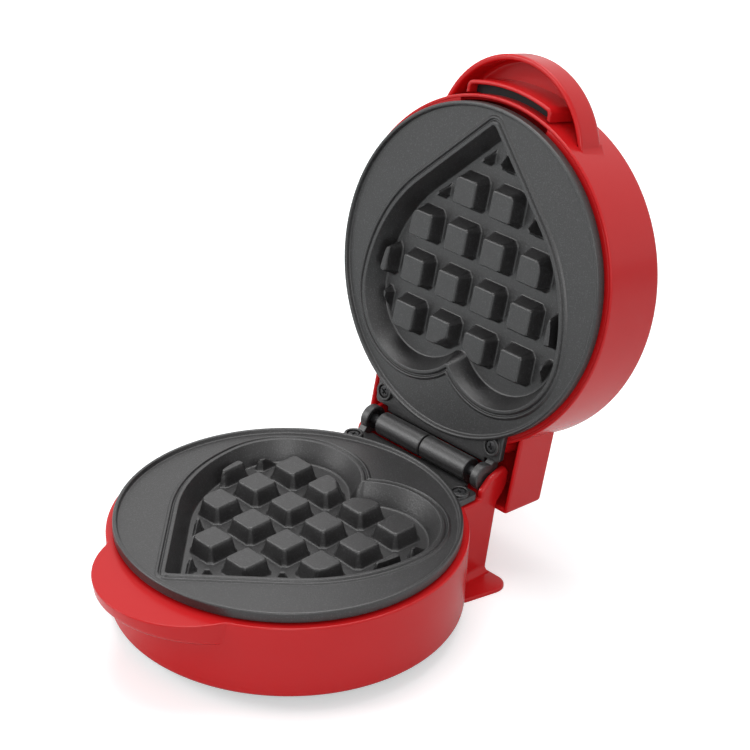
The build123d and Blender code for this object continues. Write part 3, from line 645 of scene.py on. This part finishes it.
def block_rows(middle, core):
    """Rings round a block, from its foot's fillet up its tapered sides and over its rounded top edge."""
    levels = [(-0.45, 0.0), (-0.28, 0.06), (-0.05, 0.25), (0.1, 0.6)]
    levels += [(BLOCK_DRAFT * part, BLOCK_HEIGHT * part) for part in (0.2, 0.35, 0.5, 0.65, 0.78, 0.87)]
    for turn in (math.radians(angle) for angle in (15, 38, 62, 90)):
        drop = BLOCK_EDGE * (1 - math.sin(turn))
        levels.append((BLOCK_DRAFT - 0.1 + BLOCK_EDGE * (1 - math.cos(turn)), BLOCK_HEIGHT - drop))
    rows = []
    for inset, height in levels:
        if outside_block(*core, middle, inset) > -0.05:
            break
        row = []
        for x, y in arc((0, 0), 1.0, 0, 360, 88)[:-1]:
            reach = block_reach(middle, core, inset, x, y)
            row.append((core[0] + reach * x, core[1] + reach * y, MOULD_FLOOR + height))
        rows.append(row)
    return rows


def mould_disc(skin):
    """The casting's disc: groove, rim and annulus, then the double bead and the wall of the heart mould."""
    turns = [math.atan2(y, x) for x, y in heart(BEAD_FOOT)]
    edge = [(BOSS_R, CASTING_FOOT), (BOSS_R, SEAT), (GROOVE_R, SEAT), (GROOVE_R + 0.2, SEAT + 0.55)]
    edge.append((PLATE_R - 0.3, SEAT + 0.6))
    rim = rounded(
        [
            (PLATE_R, SEAT + 0.9, 0),
            (PLATE_R, 0, 0.7),
            (RIM_TOP_R, 0, 0.6),
            (RIM_FOOT_R, ANNULUS, 0.5),
            (ANNULUS_R, ANNULUS, 0),
        ],
        closed=False,
    )
    section = rounded(
        [
            (BEAD_FOOT - 0.3, ANNULUS, 0),
            (BEAD_FOOT, ANNULUS + 0.03, 0.1),
            (-3.0, RIDGE - 0.1, 0.4),
            (-2.5, RIDGE - 0.1, 0.3),
            (-2.1, ANNULUS - 0.1, 0.25),
            (-1.75, ANNULUS - 0.1, 0.25),
            (-1.2, RIDGE, 0.4),
            (0.0, RIDGE, 0.45),
            (MOULD_DRAFT, MOULD_FLOOR, 0.9),
            (MOULD_DRAFT + 1.5, MOULD_FLOOR, 0),
        ],
        closed=False,
    )
    rows = [
        [(radius * math.cos(turn), radius * math.sin(turn), level) for turn in turns]
        for radius, level in edge + rim
    ]
    rows += [[(x, y, level) for x, y in heart(inset)] for inset, level in section]
    skin.rows(rows, (True, True))


def rear_flange(skin):
    """The flange behind the rim that carries the two screws, with the web under the barrel."""
    half = [(FLANGE_HALF, 50, 0), (FLANGE_HALF, FLANGE_Y, 2.0)]
    half += [(TONGUE_HALF, FLANGE_Y, 0.5), (TONGUE_HALF, TONGUE_Y, 0.3)]
    outline = half + [(-x, y, radius) for x, y, radius in reversed(half)]
    skin.slab(rounded(outline), rounded_ends(SEAT, FLANGE_TOP, 0.2, 0.5))
    web = rounded([(60.5, -4.2, 0), (HINGE_Y, -4.2, 0), (HINGE_Y, -2.4, 0), (60.5, -2.4, 0)])
    skin.slab(web, rounded_ends(*BARREL, 0.2, 0.2), sideways)


def hinge_half(skin):
    """Half of the hinge barrel, and at its other end the recessed knuckle on its arm."""
    axis = (HINGE_Y, HINGE_Z)
    barrel = rounded(
        [
            (PIN_HOLE_R, BARREL[0], 0),
            (BARREL_R, BARREL[0], 0.5),
            (BARREL_R, BARREL[1], 0.5),
            (PIN_HOLE_R, BARREL[1], 0),
        ]
    )
    skin.turned(barrel, axis, HINGE_STEPS, sideways, closed=True)
    knuckle = rounded(
        [
            (PIN_HOLE_R, KNUCKLE[0], 0),
            (KNUCKLE_R, KNUCKLE[0], 0.5),
            (KNUCKLE_R, KNUCKLE[1], 0.5),
            (RECESS_R, KNUCKLE[1], 0.25),
            (RECESS_R, KNUCKLE[1] - RECESS_DEPTH, 0.3),
            (PIN_HOLE_R, KNUCKLE[1] - RECESS_DEPTH, 0),
        ]
    )
    skin.turned(knuckle, axis, HINGE_STEPS, sideways, closed=True)
    arm = [(62.6, SEAT, 0), (65.4, SEAT, 0.8), (67.8, -2.9, 0)]
    arm += [(65.0, -0.8, 0), (64.6, 0.4, 0), (62.6, -2.0, 0.5)]
    skin.slab(rounded(arm), rounded_ends(*KNUCKLE, 0.4, 0.4), sideways)


def cooking_plate(body, replaced):
    """One casting: disc with its heart mould and blocks, rear flange, hinge half and screw rings."""
    skin = Skin()
    mould_disc(skin)
    for middle, core in grid_blocks():
        skin.rows(block_rows(middle, core), (False, True))
    rear_flange(skin)
    hinge_half(skin)
    ring = [(4.3, -2.1, 0), (3.7, -2.0, 0.3), (3.7, -0.7, 0.35), (2.65, -0.7, 0.25), (2.65, -2.3, 0)]
    for side in (-1, 1):
        skin.turned(rounded(ring, closed=False), (side * SCREW_X, SCREW_Y), SCREW_STEPS)
    put(skin, body + "_mould_casting", body, "nonstick_casting", replaced)


def cross_reach(angle):
    """How far a cross recess reaches from a screw's middle in a direction."""
    half_length, half_width, least = 1.35, 0.32, 1e-6
    across, along = max(abs(math.cos(angle)), least), max(abs(math.sin(angle)), least)
    return max(min(half_length / across, half_width / along), min(half_length / along, half_width / across))


def plate_screws(body, replaced):
    """Two dark pan-head screws, deep in their rings, each with its cross at its own turn."""
    turns = [math.radians(5 * step) for step in range(72)]
    head = [(2.4, -2.3), (2.4, -1.5), (2.25, -1.22), (1.9, -1.08)]
    cross = [(1.12, -1.03), (1.0, -1.1), (0.85, -1.9)]
    rings = [([radius] * len(turns), level) for radius, level in head]
    rings += [([cross_reach(turn) * size for turn in turns], level) for size, level in cross]
    skin = Skin()
    for side, twist in ((-1, 0.4), (1, 1.1)):
        rows = []
        for reaches, level in rings:
            row = []
            for reach, turn in zip(reaches, turns):
                x = side * SCREW_X + reach * math.cos(turn + twist)
                row.append((x, SCREW_Y + reach * math.sin(turn + twist), level))
            rows.append(row)
        skin.rows(rows, (True, True))
    put(skin, body + "_plate_screw_heads", body, "black_steel", replaced)


cooking_plate("base", "lower_cooking_plate")
cooking_plate("lid", "upper_cooking_plate")
plate_screws("base", "lower_plate_screws")
plate_screws("lid", "upper_plate_screws")

# Sizes that both housings share
DRUM_R = 64.5
DRUM_BACK_R = 64.0
DRUM_BACK = -33.0
ROOM_R = 62.3
ROOM_BACK_R = 61.8
LEDGE_R = 59.9
LEDGE_BACK = -6.6
BLEND_R = 7.0
BOSS_DEPTH = 13.0
SCREW_BOSS_R = 3.45

# Sizes of the base: its lip, which is thinner at the front, its tower and its foot plates
LIP_R, LIP_Y = 33.9, -44.4
LIP_FRONT, LIP_THIN = -78.4, 5.6
LIP_BACK, LIP_THICK = -52.0, 10.6
TOWER_FOOT = -38.5
TOWER_HALF = 33.3
CHEEK_INNER = 30.9
BEND_Y, BEND_Z = 73.08, -12.4
HEEL_Y = 69.4
FOOT_THICK = 1.5
FOOT_BLEND_R = 3.2
BUSH_R, BUSH_Y, BUSH_Z = 4.35, 71.02, -27.0

# Sizes of the lid: its dished handle with the slot, and its rear box, open towards the hinge
HANDLE_R, HANDLE_Y = 35.0, -45.0
HANDLE_FRONT, HANDLE_BACK = -10.0, -22.2
DISH_R, DISH_FLOOR = 32.8, -20.0
LEDGE_START, LEDGE_SWEEP = -70.5, 321
SLOT_R, SLOT_HALF, SLOT_WALL = 69.3, 20.1, 1.5
SLOT_END_R = 65.0
RIB_BACK, RIB_FRONT = -20.5, -5.6
INSERT_BACK, INSERT_FRONT = -20.0, -9.5
BOX_HALF, BOX_WALL = 38.2, 2.0
BOX_FRONT, BOX_FRONT_END = -5.6, 82.3
BOX_BACK, BOX_BACK_END = -24.2, 79.9
BOX_LIP = 0.95


def hollow_blend(drum_r, round_r, round_y):
    """An arc that blends the drum into a round form before it, with the turns at which it meets each."""
    blend_y = ((drum_r + BLEND_R) ** 2 - (round_r + BLEND_R) ** 2 + round_y**2) / (2 * round_y)
    blend_x = math.sqrt((drum_r + BLEND_R) ** 2 - blend_y**2)
    round_turn = math.degrees(math.atan2(blend_y - round_y, blend_x))
    drum_turn = math.degrees(math.atan2(blend_y, blend_x))
    hollow = arc((blend_x, blend_y), BLEND_R, 180 + round_turn, drum_turn - round_turn, 12)
    return hollow, round_turn, drum_turn


def screw_bosses(skin):
    """Two bosses under the casting's flange, for its screws."""
    for side in (-1, 1):
        boss = [(SCREW_BOSS_R, SEAT - BOSS_DEPTH), (SCREW_BOSS_R, SEAT - 0.05)]
        skin.turned(boss, (side * SCREW_X, SCREW_Y), SCREW_STEPS)


def base_drum(skin):
    """The drum's tapered wall, with the ledge that carries the casting."""
    top = SEAT - 0.02
    wall = rounded(
        [
            (LEDGE_R, top, 0),
            (DRUM_R, top, 0.7),
            (DRUM_BACK_R, DRUM_BACK, 2.2),
            (ROOM_BACK_R, DRUM_BACK, 0),
            (ROOM_R, LEDGE_BACK, 0),
            (LEDGE_R, LEDGE_BACK, 0),
        ]
    )
    skin.turned(wall, closed=True)


def front_lip(skin):
    """The lip's outline goes round the lip, through a hollow blend, back along the drum and mirrored."""
    hollow, lip_turn, drum_turn = hollow_blend(DRUM_R - 0.32, LIP_R, LIP_Y)
    half = arc((0, LIP_Y), LIP_R, -90, 90 + lip_turn, 30)[:-1] + hollow
    inner = arc((0, 0), 61.0, drum_turn + 1, -2 * (drum_turn + 1) - 180, 30)
    outline = half + inner + [(-x, y) for x, y in reversed(half[1:])]
    # Inset, then whether it lies at the underside, then how far below the seat or the underside
    levels = [(0.55, 0, 0), (0.2, 0, 0.1), (0.05, 0, 0.3), (0, 0, 0.6), (0.6, 1, -2.2)]
    levels += [(0.75, 1, -1.5), (1.15, 1, -0.75), (1.75, 1, -0.2), (2.7, 1, 0)]
    slope = (LIP_THICK - LIP_THIN) / (LIP_BACK - LIP_FRONT)
    rows = []
    for inset, under, below in levels:
        row = []
        for x, y in drawn_in(outline, inset):
            thick = LIP_THIN + (max(LIP_FRONT, min(y, LIP_BACK)) - LIP_FRONT) * slope
            row.append((x, y, SEAT - under * thick - below))
        rows.append(row)
    skin.rows(rows, (True, True))


def tower_sides(skin):
    """Side walls of the tower, each with its hooked cheek."""
    wall = rounded(
        [
            (50.0, DRUM_BACK, 0),
            (50.0, -5.0, 0),
            (64.7, -5.0, 0.7),
            (64.9, -1.9, 3.0),
            (69.1, 2.0, 7.0),
            (74.0, 3.6, 8.0),
            (77.5, 4.1, 1.9),
            (79.0, 1.7, 3.0),
            (78.5, -3.2, 7.0),
            (76.3, -6.9, 7.0),
            (73.75, -9.2, 2.5),
            (BEND_Y, BEND_Z, 1.5),
            (HEEL_Y, TOWER_FOOT, 1.5),
            (53.0, TOWER_FOOT, 0),
            (53.0, DRUM_BACK, 0),
        ],
        step=12.0,
    )
    for side in (-1, 1):
        skin.slab(wall, rounded_ends(CHEEK_INNER, TOWER_HALF, 0.35, 1.3), on_side(side, sideways))


def foot_plates(skin):
    """Two plates at the foot of the tower, each with its hollow blend into the tower's side."""
    corners = [(31.5, 47.0, 0), (42.0, 47.0, 4.0), (45.5, 63.0, 6.0), (45.5, 69.8, 5.6), (31.5, 69.8, 0)]
    plate = rounded(corners, step=10.0)
    middle = (TOWER_HALF + FOOT_BLEND_R, TOWER_FOOT + FOOT_THICK - 0.1 + FOOT_BLEND_R)
    blend = [
        (TOWER_HALF - 0.4, TOWER_FOOT + 0.6),
        (TOWER_HALF - 0.4, middle[1]),
        *arc(middle, FOOT_BLEND_R, 180, 90, 8),
        (middle[0], TOWER_FOOT + 0.6),
    ]
    for side in (-1, 1):
        skin.slab(plate, rounded_ends(TOWER_FOOT, TOWER_FOOT + FOOT_THICK, 0.1, 0.7), on_side(side, flat))
        skin.slab(blend, [(0, 54.5), (0, 68.6)], on_side(side, lengthways))


def tower_middle():
    """The tower between its side walls: hollow, open below, with the cord bush's hole in its rear."""
    outer = [(51.0, -5.0, 0), (74.54, -5.0, 0.7), (BEND_Y, BEND_Z, 1.0), (HEEL_Y, TOWER_FOOT, 0.2)]
    outer += [(53.0, TOWER_FOOT, 0), (53.0, DRUM_BACK, 0), (51.0, DRUM_BACK, 0)]
    room = [(40.0, -7.2, 0), (72.0, -7.2, 0), (70.9, BEND_Z, 0), (67.2, TOWER_FOOT - 2, 0)]
    room.append((40.0, TOWER_FOOT - 2, 0))
    body, hollow, bore = Skin(), Skin(), Skin()
    body.slab(rounded(outer), [(0, -CHEEK_INNER - 0.2), (0, CHEEK_INNER + 0.2)], sideways)
    hollow.slab(rounded(room), [(0, -31.0), (0, 31.0)], sideways)
    bore.turned([(BUSH_R, 60.0), (BUSH_R, 80.0)], (0, BUSH_Z), 48, lengthways)
    bored = bore.mesh("bush_hole")
    lean = math.atan2(BEND_Y - HEEL_Y, TOWER_FOOT - BEND_Z)
    about = Matrix.Translation(Vector((0, BUSH_Y, BUSH_Z)) * MM)
    bored.transform(about @ Matrix.Rotation(math.pi + lean, 4, "X") @ about.inverted())
    return carved(body.mesh("tower"), hollow.mesh("tower_room"), bored)


def base_shell():
    """Round drum that flows out into a front lip, with the rear tower, its cheeks and foot plates."""
    skin = Skin()
    base_drum(skin)
    front_lip(skin)
    tower_sides(skin)
    foot_plates(skin)
    screw_bosses(skin)
    skin.absorb(tower_middle())
    put(skin, "base_shell", "base", "red_plastic", "base_housing")


def lid_drum(skin):
    """The closed drum, and in it the ledge that carries the casting, open at the handle's slot."""
    drum = rounded(
        [
            (55.0, -30.8, 0),
            (ROOM_BACK_R, -30.8, 0),
            (ROOM_R, LEDGE_BACK, 0),
            (63.2, -6.3, 0),
            (63.2, SEAT, 0.3),
            (DRUM_R, SEAT, 0.6),
            (DRUM_BACK_R, DRUM_BACK, 2.4),
            (50.0, DRUM_BACK, 0),
        ],
        closed=False,
    )
    skin.turned(drum)
    ledge = arc((0, 0), 63.3, LEDGE_START, LEDGE_SWEEP, 120)
    ledge += arc((0, 0), LEDGE_R, LEDGE_START + LEDGE_SWEEP, -LEDGE_SWEEP, 120)
    skin.slab(ledge, [(0, LEDGE_BACK), (0, SEAT - 0.3), (0.1, SEAT - 0.1), (0.25, SEAT - 0.02)])


def leg_blend():
    """The hollow that rounds the handle's leg into the drum."""
    leg_r = HANDLE_R - 0.1
    hollow, leg_turn, drum_turn = hollow_blend(DRUM_BACK_R + 0.22, leg_r, HANDLE_Y)
    inner = arc((0, 0), DRUM_BACK_R - 1.6, drum_turn + 1, -6, 3)
    return hollow + inner + arc((0, HANDLE_Y), leg_r - 1.6, leg_turn + 6, -10, 4)


def slot_outline(radius, half_width, corner):
    """The slot's outer side seen from the front of the plate, from its right end to its left."""
    turn = math.degrees(math.asin(half_width / radius))
    far = arc((0, 0), radius, -90 + turn, -2 * turn, 10)
    end = math.sqrt(SLOT_END_R**2 - half_width**2)
    corners = [(half_width, -end, 0.3), (*far[0], corner)]
    corners += [(x, y, 0) for x, y in far[1:-1]]
    return corners + [(*far[-1], corner), (-half_width, -end, 0.3)]


def handle(skin):
    """The dished handle, its two legs, and the rib round its slot."""
    dish = rounded(
        [
            (10.0, DISH_FLOOR, 0),
            (DISH_R, DISH_FLOOR, 1.4),
            (DISH_R, HANDLE_FRONT, 1.0),
            (HANDLE_R, HANDLE_FRONT, 1.0),
            (HANDLE_R, HANDLE_BACK, 2.8),
            (10.0, HANDLE_BACK, 0),
        ],
        closed=False,
    )
    skin.turned(dish, (0, HANDLE_Y), 120)
    for side in (-1, 1):
        leg = [(side * x, y) for x, y in leg_blend()]
        skin.slab(leg, rounded_ends(HANDLE_BACK + 0.3, HANDLE_FRONT - 0.1, 0.5, 0.5))
    outer = rounded(slot_outline(SLOT_R, SLOT_HALF, 2.4), closed=False)
    inner = rounded(slot_outline(SLOT_R - SLOT_WALL, SLOT_HALF - SLOT_WALL, 1.3), closed=False)
    skin.slab(outer + list(reversed(inner)), rounded_ends(RIB_BACK, RIB_FRONT, 0, 0.7))


def box_row(inset, level):
    """A ring round the rear box, whose end leans towards its back."""
    lean = (BOX_FRONT_END - BOX_BACK_END) / (BOX_FRONT - BOX_BACK)
    end = BOX_FRONT_END + (level - BOX_FRONT) * lean - inset
    x = BOX_HALF - inset
    corner = max(0.5, 1.8 - inset)
    ring = rounded([(-x, 50.0, 0), (x, 50.0, 0), (x, end, corner), (-x, end, corner)])
    return [(x, y, level) for x, y in ring]


def rear_box(skin):
    """Up the outside of the box, over its lip and down its inside to its floor."""
    rows = [box_row(inset, level) for inset, level in rounded_ends(BOX_BACK, BOX_FRONT, 1.2, BOX_LIP)]
    rows += [box_row(BOX_WALL - inset, level) for inset, level in reversed(rounded_top(BOX_FRONT, BOX_LIP))]
    rows.append(box_row(BOX_WALL, BOX_BACK + BOX_WALL))
    skin.rows(rows, (True, True))


def lid_shell():
    """Closed drum with the dished handle, the slot's rib and the rear box."""
    skin = Skin()
    lid_drum(skin)
    handle(skin)
    rear_box(skin)
    screw_bosses(skin)
    put(skin, "lid_shell", "lid", "red_plastic", "lid_housing")


def slot_insert_face():
    """Dark insert that fills the handle's slot, a little clear of its rib."""
    skin = Skin()
    inner = SLOT_WALL + 0.1
    outline = rounded(slot_outline(SLOT_R - inner, SLOT_HALF - inner, 1.2))
    skin.slab(outline, rounded_ends(INSERT_BACK, INSERT_FRONT, 0, 0.3))
    put(skin, "slot_insert_face", "lid", "black_plastic", "slot_insert")


base_shell()
lid_shell()
slot_insert_face()

# Floor, light and camera, in metres
WHITE = colour(1, 1, 1)
FLOOR_HALF = 6.0
GLOW, GLOW_START, GLOW_RISE = 0.45, 0.25, 1.6
SKY_FILL = 0.45
AIM = Vector((0, 0, 0.06))


def stage_finish():
    """Pale floor that reads white to the camera and still takes the object's shadow."""
    finish = Finish("stage_white")
    seen = finish.node("ShaderNodeLightPath", {}, {}, "Is Camera Ray")
    paint = finish.node("ShaderNodeBsdfDiffuse", {}, {"Color": colour(0.82, 0.86, 0.86)})
    away = finish.node("ShaderNodeVectorMath", {"operation": "LENGTH"}, {0: finish.place()}, "Value")
    glow = GLOW + (1 - GLOW) * ((away - GLOW_START) * GLOW_RISE).clipped()
    lift = finish.node("ShaderNodeEmission", {}, {"Color": WHITE, "Strength": glow * seen})
    finish.show(finish.node("ShaderNodeAddShader", {}, {0: paint, 1: lift}))
    return finish.material


def studio_floor():
    """A wide flat sheet at the level of the feet."""
    mesh = bpy.data.meshes.new("floor")
    corners = [(-1, -1), (1, -1), (1, 1), (-1, 1)]
    mesh.from_pydata([(FLOOR_HALF * x, FLOOR_HALF * y, 0) for x, y in corners], [], [(0, 1, 2, 3)])
    mesh.materials.append(stage_finish())
    return in_scene("floor", mesh)


def studio_world():
    """White to the camera, in reflections and through glass, and dimmer as light on the object."""
    world = bpy.data.worlds.new("studio")
    world.use_nodes = True
    sky = Network(world.node_tree, "ShaderNodeOutputWorld")
    seen = sky.node("ShaderNodeBackground", {}, {"Color": WHITE, "Strength": 1.0})
    fill = sky.node("ShaderNodeBackground", {}, {"Color": colour(0.97, 0.98, 1.0), "Strength": SKY_FILL})
    camera_ray = sky.node("ShaderNodeLightPath", {}, {}, "Is Camera Ray")
    glossy_ray = sky.node("ShaderNodeLightPath", {}, {}, "Is Glossy Ray")
    clear_ray = sky.node("ShaderNodeLightPath", {}, {}, "Is Transmission Ray")
    direct = (camera_ray + glossy_ray + clear_ray).clipped()
    sky.show(sky.node("ShaderNodeMixShader", {}, {0: direct, 1: fill, 2: seen}))
    return world


def softbox(name, place, size, power):
    """A lamp with an oblong face, turned to the object."""
    light = bpy.data.lights.new(name, "AREA")
    light.shape = "RECTANGLE"
    light.size, light.size_y = size
    light.energy = power
    holder = in_scene(name, light)
    holder.location = place
    holder.rotation_euler = (AIM - Vector(place)).to_track_quat("-Z", "Y").to_euler()


def photograph_camera():
    """The camera as it was fitted to the photograph, by angles about its target and a distance from it."""
    azimuth, elevation, roll = (math.radians(angle) for angle in (45.17, 27.91, 2.13))
    distance = 713.9 * MM
    target = FLAT_TO_ROW @ (Vector((0, 40.52, 41.49)) * MM)
    level = math.cos(elevation)
    away = Vector((math.sin(azimuth) * level, -math.cos(azimuth) * level, math.sin(elevation)))
    across = Vector((math.cos(azimuth), math.sin(azimuth), 0))
    upward = away.cross(across)
    rolled_across = across * math.cos(roll) + upward * math.sin(roll)
    rolled_upward = upward * math.cos(roll) - across * math.sin(roll)
    turned = Matrix((rolled_across, rolled_upward, away)).transposed().to_4x4()
    lens = bpy.data.cameras.new("camera")
    lens.sensor_width = 36.0
    lens.lens = 96.0
    camera = in_scene("camera", lens)
    camera.matrix_world = Matrix.Translation(target + away * distance) @ turned
    return camera


floor = studio_floor()
softbox("top_softbox", place=(-0.25, 0.25, 1.4), size=(1.0, 1.0), power=12.0)
softbox("left_softbox", place=(-0.9, -1.0, 0.8), size=(0.8, 0.8), power=8.0)
softbox("front_strip", place=(0.95, -0.9, 0.8), size=(0.3, 0.7), power=4.0)
bpy.context.scene.world = studio_world()
bpy.context.scene.camera = photograph_camera()
bpy.context.scene.view_settings.view_transform = "Standard"
